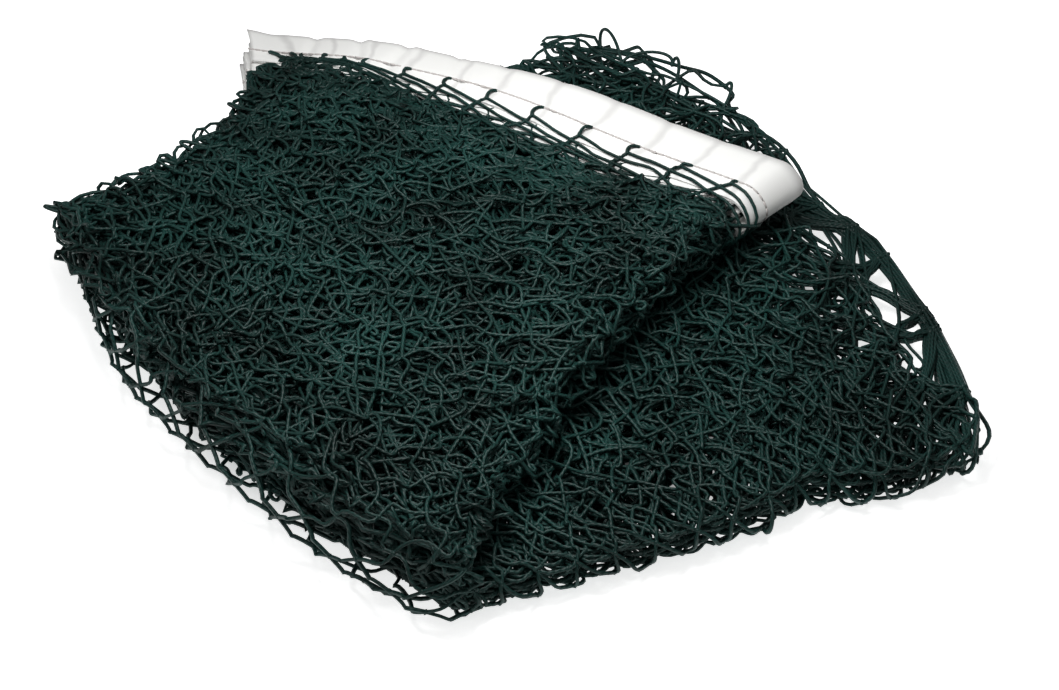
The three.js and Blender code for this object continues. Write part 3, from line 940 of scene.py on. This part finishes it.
def twisted_green_twine():
    """Dark green polyester twine, twisted and heat-set: a slight sheen, painted shade in its grooves and
    a painted highlight on its ridges.
    """
    twist_pitch = 3.2
    strands = 3.0
    groove_depth = 0.12
    painted_groove_shade = 0.62
    painted_ridge_highlight = 1.1
    fade_size = 45.0
    material, tree, surface = new_material("twisted_green_polyester_twine")
    length = add_node(tree, "ShaderNodeAttribute", attribute_name="twine_length")
    around = add_node(tree, "ShaderNodeAttribute", attribute_name="twine_around")
    split = add_node(tree, "ShaderNodeSeparateXYZ", {"Vector": around.outputs["Vector"]})
    angle = add_node(tree, "ShaderNodeMath", {
        0: split.outputs["Y"],
        1: split.outputs["X"],
    }, operation="ARCTAN2")
    turns = add_node(tree, "ShaderNodeMath", {
        0: length.outputs["Fac"],
        1: math.tau / (twist_pitch * MM * strands),
    }, operation="MULTIPLY")
    phase = add_node(tree, "ShaderNodeMath", {0: angle.outputs[0], 1: turns.outputs[0]}, operation="ADD")
    lines = add_node(tree, "ShaderNodeMath", {0: phase.outputs[0], 1: strands}, operation="MULTIPLY")
    ridge = add_node(tree, "ShaderNodeMath", {0: lines.outputs[0]}, operation="SINE")
    place = add_node(tree, "ShaderNodeTexCoord")
    fade = add_node(tree, "ShaderNodeTexNoise", {
        "Vector": place.outputs["Object"],
        "Scale": 1 / (fade_size * MM),
        "Detail": 3.0,
    })
    shade = add_node(tree, "ShaderNodeValToRGB", {"Fac": fade.outputs["Fac"]})
    shade.color_ramp.elements[0].position = 0.3
    shade.color_ramp.elements[0].color = linear("#0c2925")
    shade.color_ramp.elements[1].position = 0.7
    shade.color_ramp.elements[1].color = linear("#224b46")
    # Painted shade in the grooves of the twist and a painted highlight on its ridges, besides the bump.
    painted_twist_shading = add_node(tree, "ShaderNodeMapRange", {
        "Value": ridge.outputs[0],
        "From Min": -1.0,
        "To Min": painted_groove_shade,
        "To Max": painted_ridge_highlight,
    })
    colour = add_node(tree, "ShaderNodeVectorMath", {
        0: shade.outputs["Color"],
        "Scale": painted_twist_shading.outputs["Result"],
    }, operation="SCALE")
    bump = add_node(tree, "ShaderNodeBump", {
        "Height": ridge.outputs[0],
        "Strength": 0.5,
        "Distance": groove_depth * MM,
    })
    tree.links.new(colour.outputs["Vector"], surface["Base Color"])
    tree.links.new(bump.outputs["Normal"], surface["Normal"])
    surface["Roughness"].default_value = 0.5
    surface["Specular IOR Level"].default_value = 0.4
    return material


def white_tape_cloth():
    """White woven polyester tape: matt, with a fine even weave and faint grey painted shade.

    The painted shade is along the fold at its top edge and in creases across it, one at every mesh.
    """
    thread_spacing = 1.2
    thread_height = 0.1
    crease_wobble_size = 60.0
    crease_spacing = NET_LENGTH / LAY_COUNT / MESHES_IN_LAY
    crease_width = 3.5
    crease_painted_shade = 0.45
    fold_width = 7.0
    fold_painted_shade = 0.3
    material, tree, surface = new_material("white_woven_polyester_tape")
    cloth = add_node(tree, "ShaderNodeUVMap", uv_map="tape_cloth")
    waves = []
    for direction in ("X", "Y"):
        wave = add_node(tree, "ShaderNodeTexWave", {
            "Vector": cloth.outputs["UV"],
            "Scale": 1 / thread_spacing / 2,
            "Distortion": 0.4,
            "Detail": 1.0,
        }, bands_direction=direction)
        waves.append(wave.outputs["Fac"])
    weave = add_node(tree, "ShaderNodeMath", {0: waves[0], 1: waves[1]}, operation="MULTIPLY")
    crease_wobble = add_node(tree, "ShaderNodeTexNoise", {
        "Vector": cloth.outputs["UV"],
        "Scale": 1 / crease_wobble_size,
        "Detail": 4.0,
    })
    split = add_node(tree, "ShaderNodeSeparateXYZ", {"Vector": cloth.outputs["UV"]})
    strayed = add_node(tree, "ShaderNodeMath", {
        0: crease_wobble.outputs["Fac"],
        1: crease_spacing,
        2: split.outputs["X"],
    }, operation="MULTIPLY_ADD")
    from_crease = add_node(tree, "ShaderNodeMath", {
        0: strayed.outputs[0],
        1: crease_spacing / 2,
    }, operation="PINGPONG")
    from_fold = add_node(tree, "ShaderNodeMath", {
        0: split.outputs["Y"],
        1: TAPE_WIDTH,
    }, operation="SUBTRACT")
    off_fold = add_node(tree, "ShaderNodeMath", {0: from_fold.outputs[0]}, operation="ABSOLUTE")
    # Painted shade: grey along the fold at the tape's top edge and in a crease at every mesh, set off a
    # little by noise.
    marks = []
    creases = (from_crease, crease_width, crease_painted_shade)
    folds = (off_fold, fold_width, fold_painted_shade)
    for distance, width, least in (creases, folds):
        painted_shade = add_node(tree, "ShaderNodeMapRange", {
            "Value": distance.outputs[0],
            "From Max": width,
            "To Min": least,
            "To Max": 1.0,
        }, interpolation_type="SMOOTHSTEP")
        marks.append(painted_shade.outputs["Result"])
    free_of_painted_shade = add_node(tree, "ShaderNodeMath", {0: marks[0], 1: marks[1]}, operation="MULTIPLY")
    shade = add_node(tree, "ShaderNodeValToRGB", {"Fac": free_of_painted_shade.outputs[0]})
    shade.color_ramp.elements[0].position = 0.0
    shade.color_ramp.elements[0].color = linear("#cbcac9")
    shade.color_ramp.elements[1].position = 1.0
    shade.color_ramp.elements[1].color = linear("#efefed")
    bump = add_node(tree, "ShaderNodeBump", {
        "Height": weave.outputs[0],
        "Strength": 0.25,
        "Distance": thread_height * MM,
    })
    tree.links.new(shade.outputs["Color"], surface["Base Color"])
    tree.links.new(bump.outputs["Normal"], surface["Normal"])
    surface["Roughness"].default_value = 0.8
    surface["Specular IOR Level"].default_value = 0.2
    return material


def grey_sewing_thread():
    """Spun polyester sewing thread, grey: matt, and too thin to show its twist."""
    material, _, surface = new_material("grey_polyester_sewing_thread")
    surface["Base Color"].default_value = linear("#c4bfbd")
    surface["Roughness"].default_value = 0.75
    surface["Specular IOR Level"].default_value = 0.2
    return material


# The netting's pieces: fine where the twine shows, plainer inside the stack. Few sides and segments
# cut off some of the twine, which is drawn wider by as much so that it covers what round twine does.
FINE = {"segments": 8, "sides": 4, "wider": 1.11}
SIDE = {"segments": 6, "sides": 4, "wider": 1.11}
LOOP = {"segments": 24, "sides": 6, "wider": 1.05}
PLAIN = {"segments": 3, "sides": 3, "wider": 1.45}
FORMS = {"inner": PLAIN, "sides": SIDE, "foot": SIDE, "loops": LOOP}
SHOWN_LAYERS = 3.5
FOOT_PIECE_ROWS = 4

# Knots, the selvage, which has loops only where it isn't gathered, and how far from the wrapped end
# the bars are laid close on the tape.
KNOT_RADIUS = 1.4
SELVAGE_KNOT_RADIUS = 1.8
SELVAGE_SLACK = 1.04
SELVAGE_LOOPS = 0.8
WRAP_LAID = 0.13

# Ties from the seam to the first row: how far they reach at least, how they curl, and which way they
# leave. They rise more on the outermost lay than on the others.
TIE_LEAST = 3.0
TIE_SIDEWAYS = (0.0, 4.0)
TIE_CURL = (1.08, 1.3)
TIE_RISE = (0.5, 0.05)
TIE_DOWN = 0.5
TIE_SLANT = (0.2, 1.0)


def netting_parts(net, bars, bar_rows):
    """The name of the piece that each bar belongs to."""
    along = net["along"][bars].mean(axis=1)
    layer = net["layer"][bars].mean(axis=1)
    near_outside = layer < SHOWN_LAYERS
    near_inside = layer > LAY_COUNT - 1 - SHOWN_LAYERS
    parts = np.full(len(bars), "netting_inner_lower", dtype=object)
    parts[along <= 2.0] = "netting_inner_fold"
    parts[along < 1.0] = "netting_inner_upper"
    parts[(along > 2.0) & near_inside] = "netting_lower"
    parts[(along <= 2.0) & near_outside] = "netting_fold"
    parts[(along < 1.0) & near_outside] = "netting_upper"
    parts[net["turning"][bars].any(axis=1)] = "netting_sides"
    parts[bar_rows >= ROW_COUNT - FOOT_PIECE_ROWS] = "netting_foot"
    return parts


def twine_piece(name, curves, joined, knotted, diameter, form, knot_radius, twine):
    """A piece of twine along the curves.

    Joined says which curves go on from the one before, and knotted which of them end in a knot.
    """
    segments = form["segments"]
    last = np.cumsum(segments + ~joined) - 1
    numbers = last[:, None] - segments + np.arange(segments + 1)
    places = np.zeros((last[-1] + 1, 3))
    places[numbers] = curves
    edges = np.stack([numbers[:, :-1], numbers[:, 1:]], axis=-1).reshape(-1, 2)
    mesh = new_mesh(name, places, edges)
    marks = np.zeros(len(places), bool)
    marks[last[knotted]] = True
    add_values(mesh, "knot", "BOOLEAN", marks)
    add_values(mesh, "radius", "FLOAT", np.full(len(places), diameter / 2 * form["wider"] * MM))
    return baked(show(name, mesh), twine["tree"], {
        "Sides": form["sides"],
        "Knot Radius": knot_radius * MM,
        "Seed": KNOT_SEED,
        "Twine": twine["material"],
    })


def netting_piece(name, net, chosen, form, twine):
    """The bars of one piece of the netting, joined along each twine, with a knot where they meet."""
    bars = net["bars"][chosen]
    start, end = net["points"][bars[:, 0]], net["points"][bars[:, 1]]
    length = net["lengths"][chosen]
    leaving, arriving = net["leaving"][chosen], net["arriving"][chosen]
    curves = bent_bars(start, end, leaving, arriving, length, form["segments"])
    from_end = np.abs(net["runs"][bars].mean(axis=1) - 1)
    on_end = (net["rows"][bars[:, 1]] <= SKEWED_ROWS) & (from_end < WRAP_LAID)
    curves[on_end] = laid_bars(net, bars[on_end], form["segments"])
    goes_on = bars[1:, 0] == bars[:-1, 1]
    joined = np.concatenate([[False], goes_on])
    knotted = net["rightward"][chosen] & (form is not PLAIN)
    return twine_piece(name, curves, joined, knotted, TWINE_DIAMETER, form, KNOT_RADIUS, twine)


def selvage_piece(net, foot_knots, twine):
    """The thicker twine that runs through the knots of the bottom edge, lay after lay."""
    points = net["points"][foot_knots]
    heading = unit(np.roll(points, -1, axis=0) - np.roll(points, 1, axis=0))
    heading[0], heading[-1] = heading[1], heading[-2]
    start, end = points[:-1], points[1:]
    loose = (1 - net["gathered"][foot_knots[1:]]) * rng.uniform(0, SELVAGE_LOOPS, len(start))
    length = np.linalg.norm(end - start, axis=1) * (SELVAGE_SLACK + loose)
    curves = bent_bars(start, end, heading[:-1], heading[1:], length, FINE["segments"])
    joined = np.arange(len(curves)) > 0
    knotted = np.ones(len(curves), bool)
    diameter, knot_radius = SELVAGE_DIAMETER, SELVAGE_KNOT_RADIUS
    return twine_piece("netting_selvage", curves, joined, knotted, diameter, FINE, knot_radius, twine)


def ties_piece(net, twine):
    """The short bends of twine by which the first row of meshes hangs from the seam."""
    from_seam = net["along"] * UPPER_LENGTH - SEAM_FROM_CREASE
    knots = np.flatnonzero((net["rows"] == 0) & (from_seam > TIE_LEAST))
    count = len(knots)
    run = net["runs"][knots] + rng.uniform(*TIE_SIDEWAYS, count) / PANEL_WIDTH
    run = np.minimum(run, LAY_COUNT - SLOPE_STEP)
    along = np.full(count, SEAM_FROM_CREASE / UPPER_LENGTH)
    facing = net_facing(run, along)
    seam = net_surface(run, along)
    onward = unit(net_surface(run + SLOPE_STEP, along) - seam)
    down = unit(net_surface(run, along + SLOPE_STEP) - seam)
    start = seam + TAPE_FLAP_LIFT * facing
    end = net["points"][knots]
    slant = rng.uniform(*TIE_SLANT, count)[:, None]
    rise = np.where(run < 1 + WRAP_SHARE, *TIE_RISE)[:, None]
    leaving = unit(facing * rise + down * TIE_DOWN - onward * slant)
    arriving = unit(down + onward * slant)
    length = np.linalg.norm(end - start, axis=1) * rng.uniform(*TIE_CURL, count)
    curves = bent_bars(start, end, leaving, arriving, length, FINE["segments"])
    loose = np.zeros(count, bool)
    return twine_piece("netting_ties", curves, loose, ~loose, TWINE_DIAMETER, FINE, KNOT_RADIUS, twine)


def make_netting(material):
    twine = {"tree": twine_tree(), "material": material}
    runs, rows, bars, foot_knots = lay_out_net()
    net = knot_places(runs, rows)
    bars, rightward = order_by_twine(bars, runs, rows)
    bar_rows = rows[bars[:, 0]]
    longest = np.full(len(bars), BAR_LENGTH)
    longest[bar_rows >= ROW_COUNT - STRETCHED_FOOT_ROWS] *= FOOT_STRETCH
    longest[bar_rows <= SKEWED_ROWS] *= TAPE_STRETCH
    net["points"] = settle(net["points"], bars, longest, 1 - net["gathered"])
    directions = np.stack(knot_directions(net, bars, rightward))
    ways = np.where(rightward, 0, 1)
    net["leaving"], net["arriving"] = directions[ways, bars[:, 0]], directions[ways, bars[:, 1]]
    net["bars"], net["rightward"], net["lengths"] = bars, rightward, bar_lengths(net, bars)
    parts = netting_parts(net, bars, bar_rows)
    pull_out_loops(net, parts)
    pieces = []
    for name in sorted(set(parts)):
        form = FORMS.get(name.split("_")[1], FINE)
        pieces.append(netting_piece(name, net, np.flatnonzero(parts == name), form, twine))
    pieces.append(selvage_piece(net, foot_knots, twine))
    pieces.append(ties_piece(net, twine))
    return pieces


# The head tape: cloth doubled over the top edge, its crease outermost, carried through every lay. Its
# rows of points lie at these distances from the crease, with a step at the seam.
SEAM_SLOPE = 1.6
ROWS_BELOW_SEAM = [TAPE_WIDTH, 34.0, 30.0, SEAM_FROM_CREASE + SEAM_SLOPE]
ROWS_ABOVE_SEAM = [SEAM_FROM_CREASE, 20.0, 14.0, 9.0, 4.0]
ROWS_ON_UNDER_FLAP = [5.0, 12.0, 20.0, 28.0, TAPE_WIDTH]
COLUMNS_ON_TOP = 130
COLUMNS_IN_LAY = 22
COLUMNS_IN_TURN = 8
COLUMNS_IN_WRAP = 28
TAPE_LEFT_REACH = 12.0
SEAM_STEP = 0.25

# Creases across the tape on top: where along it, how slanted, how deep (or raised) and how wide.
CREASES = [
    {"at": 9.0, "slant": 0.3, "depth": 1.0, "width": 4.0},
    {"at": 33.0, "slant": -0.2, "depth": 1.5, "width": 3.2},
    {"at": 61.0, "slant": 0.1, "depth": 1.6, "width": 3.6},
    {"at": 66.0, "slant": 0.15, "depth": -0.7, "width": 3.0},
    {"at": 92.0, "slant": -0.25, "depth": 1.5, "width": 3.4},
    {"at": 98.0, "slant": -0.1, "depth": -0.6, "width": 3.0},
    {"at": 124.0, "slant": 0.35, "depth": 1.4, "width": 3.0},
    {"at": 131.0, "slant": 0.2, "depth": 0.9, "width": 2.6},
    {"at": 155.0, "slant": -0.15, "depth": 0.9, "width": 3.6},
    {"at": 187.0, "slant": 0.25, "depth": 0.8, "width": 3.2},
    {"at": 217.0, "slant": -0.1, "depth": 0.6, "width": 4.0},
    {"at": 246.0, "slant": 0.3, "depth": 0.8, "width": 3.2},
    {"at": 276.0, "slant": -0.2, "depth": 0.5, "width": 4.5},
]


def tape_columns():
    """Places on the run for the tape's columns, closer together in the turns."""
    columns = []
    for lay in range(LAY_COUNT):
        before = 0.0 if lay == 0 else WRAP_SHARE if lay == 1 else TURN_SHARE
        after = WRAP_SHARE if lay == 0 else TURN_SHARE if lay < LAY_COUNT - 1 else 0.0
        count = COLUMNS_IN_LAY if lay else COLUMNS_ON_TOP
        columns.append(lay + np.linspace(before, 1 - after, count + 1))
        if after:
            count = COLUMNS_IN_TURN if lay else COLUMNS_IN_WRAP
            columns.append(np.linspace(lay + 1 - after, lay + 1 + after, count + 1)[1:-1])
    return np.concatenate(columns)


def tape_section():
    """The doubled cloth from the upper flap's edge over the crease to the under flap's edge.

    Each point has its distance from the crease, its place square to the net and its place on the cloth.
    """
    lift = TAPE_FLAP_LIFT
    section = [(s, lift, TAPE_WIDTH - s) for s in ROWS_BELOW_SEAM]
    section += [(s, lift + SEAM_STEP, TAPE_WIDTH - s) for s in ROWS_ABOVE_SEAM]
    section += [(lift * 2, lift, TAPE_WIDTH - lift)]
    section += [(0.0, 0.0, TAPE_WIDTH)]
    section += [(lift * 2, -lift, TAPE_WIDTH + lift)]
    section += [(s, -lift, TAPE_WIDTH + s) for s in ROWS_ON_UNDER_FLAP]
    return np.array(section)


def make_tape(cloth):
    runs = tape_columns()
    section = tape_section()
    run = np.repeat(runs, len(section))
    from_crease, offset, on_cloth = np.tile(section, (len(runs), 1)).T
    along = from_crease / UPPER_LENGTH
    on_top = 1 - smooth_step(run, 1 - 2 * WRAP_SHARE, 1 - WRAP_SHARE)
    crease = np.zeros(len(run))
    for fold in CREASES:
        distance = run * PANEL_WIDTH - fold["at"] - fold["slant"] * from_crease
        crease += fold["depth"] * bell(distance, fold["width"])
    points = net_surface(run, along, TAPE_LEFT_REACH)
    points += net_facing(run, along, TAPE_LEFT_REACH) * (offset - on_top * crease)[:, None]
    numbers = np.arange(len(points)).reshape(len(runs), len(section))
    corners = [numbers[:-1, :-1], numbers[1:, :-1], numbers[1:, 1:], numbers[:-1, 1:]]
    mesh = new_mesh("head_tape_cloth", points, (), np.stack(corners, axis=-1).reshape(-1, 4))
    layer = mesh.uv_layers.new(name="tape_cloth")
    places = np.column_stack([run / LAY_COUNT * NET_LENGTH, on_cloth])
    used = np.zeros(len(mesh.loops), np.int32)
    mesh.loops.foreach_get("vertex_index", used)
    layer.data.foreach_set("uv", places[used].ravel())
    mesh.polygons.foreach_set("use_smooth", np.ones(len(mesh.polygons), bool))
    mesh.materials.append(cloth)
    piece = show("head_tape_cloth", mesh)
    thickness = piece.modifiers.new("cloth_thickness", "SOLIDIFY")
    thickness.thickness = TAPE_CLOTH * MM
    thickness.offset = 0.0
    return piece


# The thread of the seam: a row of stitches along the whole tape, on its upper flap.
STITCH_SPACING = 4.5
STITCH_LENGTH = 5.6
THREAD_RADIUS = 0.7
SEAM_COLUMNS = 120


def stitches_tree():
    """Stitches one after the other along a path, each a rounded length of thread lying along it."""
    tree, given = new_tree("seam_stitches", {
        "Spacing": "NodeSocketFloat",
        "Stitch Size": "NodeSocketVector",
        "Thread": "NodeSocketMaterial",
    })
    path = add_node(tree, "GeometryNodeMeshToCurve", {"Mesh": given["Geometry"]})
    evenly = add_node(tree, "GeometryNodeResampleCurve", {
        "Curve": path.outputs["Curve"],
        "Length": given["Spacing"],
    }, mode="LENGTH")
    onward = add_node(tree, "GeometryNodeInputTangent")
    turn = add_node(tree, "FunctionNodeAlignRotationToVector", {
        "Vector": onward.outputs["Tangent"],
    }, axis="X")
    stitch = add_node(tree, "GeometryNodeMeshIcoSphere", {"Radius": 1.0, "Subdivisions": 1})
    row = add_node(tree, "GeometryNodeInstanceOnPoints", {
        "Points": evenly.outputs["Curve"],
        "Instance": stitch.outputs["Mesh"],
        "Rotation": turn.outputs["Rotation"],
        "Scale": given["Stitch Size"],
    })
    end_tree(tree, row.outputs["Instances"], given["Thread"])
    return tree


def make_seam(thread):
    run = np.linspace(0.0, LAY_COUNT, LAY_COUNT * SEAM_COLUMNS + 1)
    along = np.full(len(run), SEAM_FROM_CREASE / UPPER_LENGTH)
    points = net_surface(run, along, TAPE_LEFT_REACH)
    points += net_facing(run, along, TAPE_LEFT_REACH) * (TAPE_FLAP_LIFT + SEAM_STEP + TAPE_CLOTH / 2)
    numbers = np.arange(len(run))
    mesh = new_mesh("seam_thread", points, np.column_stack([numbers[:-1], numbers[1:]]))
    return baked(show("seam_thread", mesh), stitches_tree(), {
        "Spacing": STITCH_SPACING * MM,
        "Stitch Size": (STITCH_LENGTH / 2 * MM, THREAD_RADIUS * MM, THREAD_RADIUS * MM),
        "Thread": thread,
    })


# The photograph's view of the bundle, and the soft light of a white studio. The floor has a painted
# glow: none within the painted shadow radius, rising from there, and full from the full glow radius on.
CAMERA_LENS = 75.0
CAMERA_SENSOR = 36.0
CAMERA_ELEVATION = math.radians(40)
CAMERA_DISTANCE = 1103.0
CAMERA_TARGET = np.array([15.45, -47.81, 20.0])
FLOOR_SIZE = 20000.0
PAINTED_SHADOW_RADIUS = 125.0
FULL_GLOW_RADIUS = 185.0
BRIGHTEST_SKY = (-0.2, 0.1, 0.97)
WALLS_BRIGHTNESS = 0.05
CEILING_BRIGHTNESS = 0.46
KEY_PLACE = np.array([-30.0, -40.0, 400.0])
KEY_SIZE = 260.0
KEY_POWER = 1.72
VIEW_GAMMA = 0.86


def make_camera():
    data = bpy.data.cameras.new("camera")
    data.lens = CAMERA_LENS
    data.sensor_width = CAMERA_SENSOR
    data.sensor_fit = "HORIZONTAL"
    camera = show("camera", data)
    back = np.array([0.0, -math.cos(CAMERA_ELEVATION), math.sin(CAMERA_ELEVATION)])
    camera.location = (CAMERA_TARGET + CAMERA_DISTANCE * back) * MM
    camera.rotation_euler = (math.pi / 2 - CAMERA_ELEVATION, 0.0, 0.0)
    bpy.context.scene.camera = camera


def make_light(name, place, size, power):
    """A round soft light, turned to the middle of the bundle."""
    data = bpy.data.lights.new(name, "AREA")
    data.shape = "DISK"
    data.size = size * MM
    data.energy = power
    light = show(name, data)
    light.location = place * MM
    light.visible_camera = False
    leaning = math.atan2(math.hypot(place[0], place[1]), place[2])
    light.rotation_euler = (leaning, 0.0, math.atan2(place[1], place[0]) + math.pi / 2)


def white_paper_floor():
    """White background paper, matt, with a painted glow, and a painted shadow where the bundle covers
    it.
    """
    painted_glow = 0.76
    material, tree, surface = new_material("white_background_paper")
    place = add_node(tree, "ShaderNodeTexCoord")
    distance = add_node(tree, "ShaderNodeVectorMath", {0: place.outputs["Object"]}, operation="LENGTH")
    # Painted glow and painted shadow: the floor glows though it is no lamp, but not under the bundle.
    painted_glow_strength = add_node(tree, "ShaderNodeMapRange", {
        "Value": distance.outputs["Value"],
        "From Min": PAINTED_SHADOW_RADIUS * MM,
        "From Max": FULL_GLOW_RADIUS * MM,
        "To Min": 0.0,
        "To Max": painted_glow,
    })
    tree.links.new(painted_glow_strength.outputs["Result"], surface["Emission Strength"])
    surface["Base Color"].default_value = linear("#eeeeee")
    surface["Emission Color"].default_value = linear("#ffffff")
    surface["Roughness"].default_value = 0.9
    surface["Specular IOR Level"].default_value = 0.1
    return material


def make_studio():
    half = FLOOR_SIZE / 2
    corners = [[-half, -half, 0.0], [half, -half, 0.0], [half, half, 0.0], [-half, half, 0.0]]
    mesh = new_mesh("floor", corners, (), [[0, 1, 2, 3]])
    mesh.materials.append(white_paper_floor())
    show("floor", mesh)
    world = bpy.data.worlds.new("white_room")
    world.use_nodes = True
    tree = world.node_tree
    background = tree.nodes["Background"].inputs
    background["Color"].default_value = linear("#ffffff")
    direction = add_node(tree, "ShaderNodeTexCoord")
    towards = add_node(tree, "ShaderNodeVectorMath", {
        0: direction.outputs["Generated"],
        1: BRIGHTEST_SKY,
    }, operation="DOT_PRODUCT")
    brightness = add_node(tree, "ShaderNodeMapRange", {
        "Value": towards.outputs["Value"],
        "To Min": WALLS_BRIGHTNESS,
        "To Max": CEILING_BRIGHTNESS,
    })
    tree.links.new(brightness.outputs["Result"], background["Strength"])
    bpy.context.scene.world = world
    make_light("key", KEY_PLACE, KEY_SIZE, KEY_POWER)
    view = bpy.context.scene.view_settings
    view.view_transform = "Standard"
    view.look = "None"
    view.gamma = VIEW_GAMMA


make_camera()
make_studio()
netting = make_netting(twisted_green_twine())
tape = make_tape(white_tape_cloth())
seam = make_seam(grey_sewing_thread())
for piece in netting:
    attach(piece, "root")
    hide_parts("net")
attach(tape, "root")
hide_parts("head_tape")
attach(seam, "root")
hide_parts("head_tape")
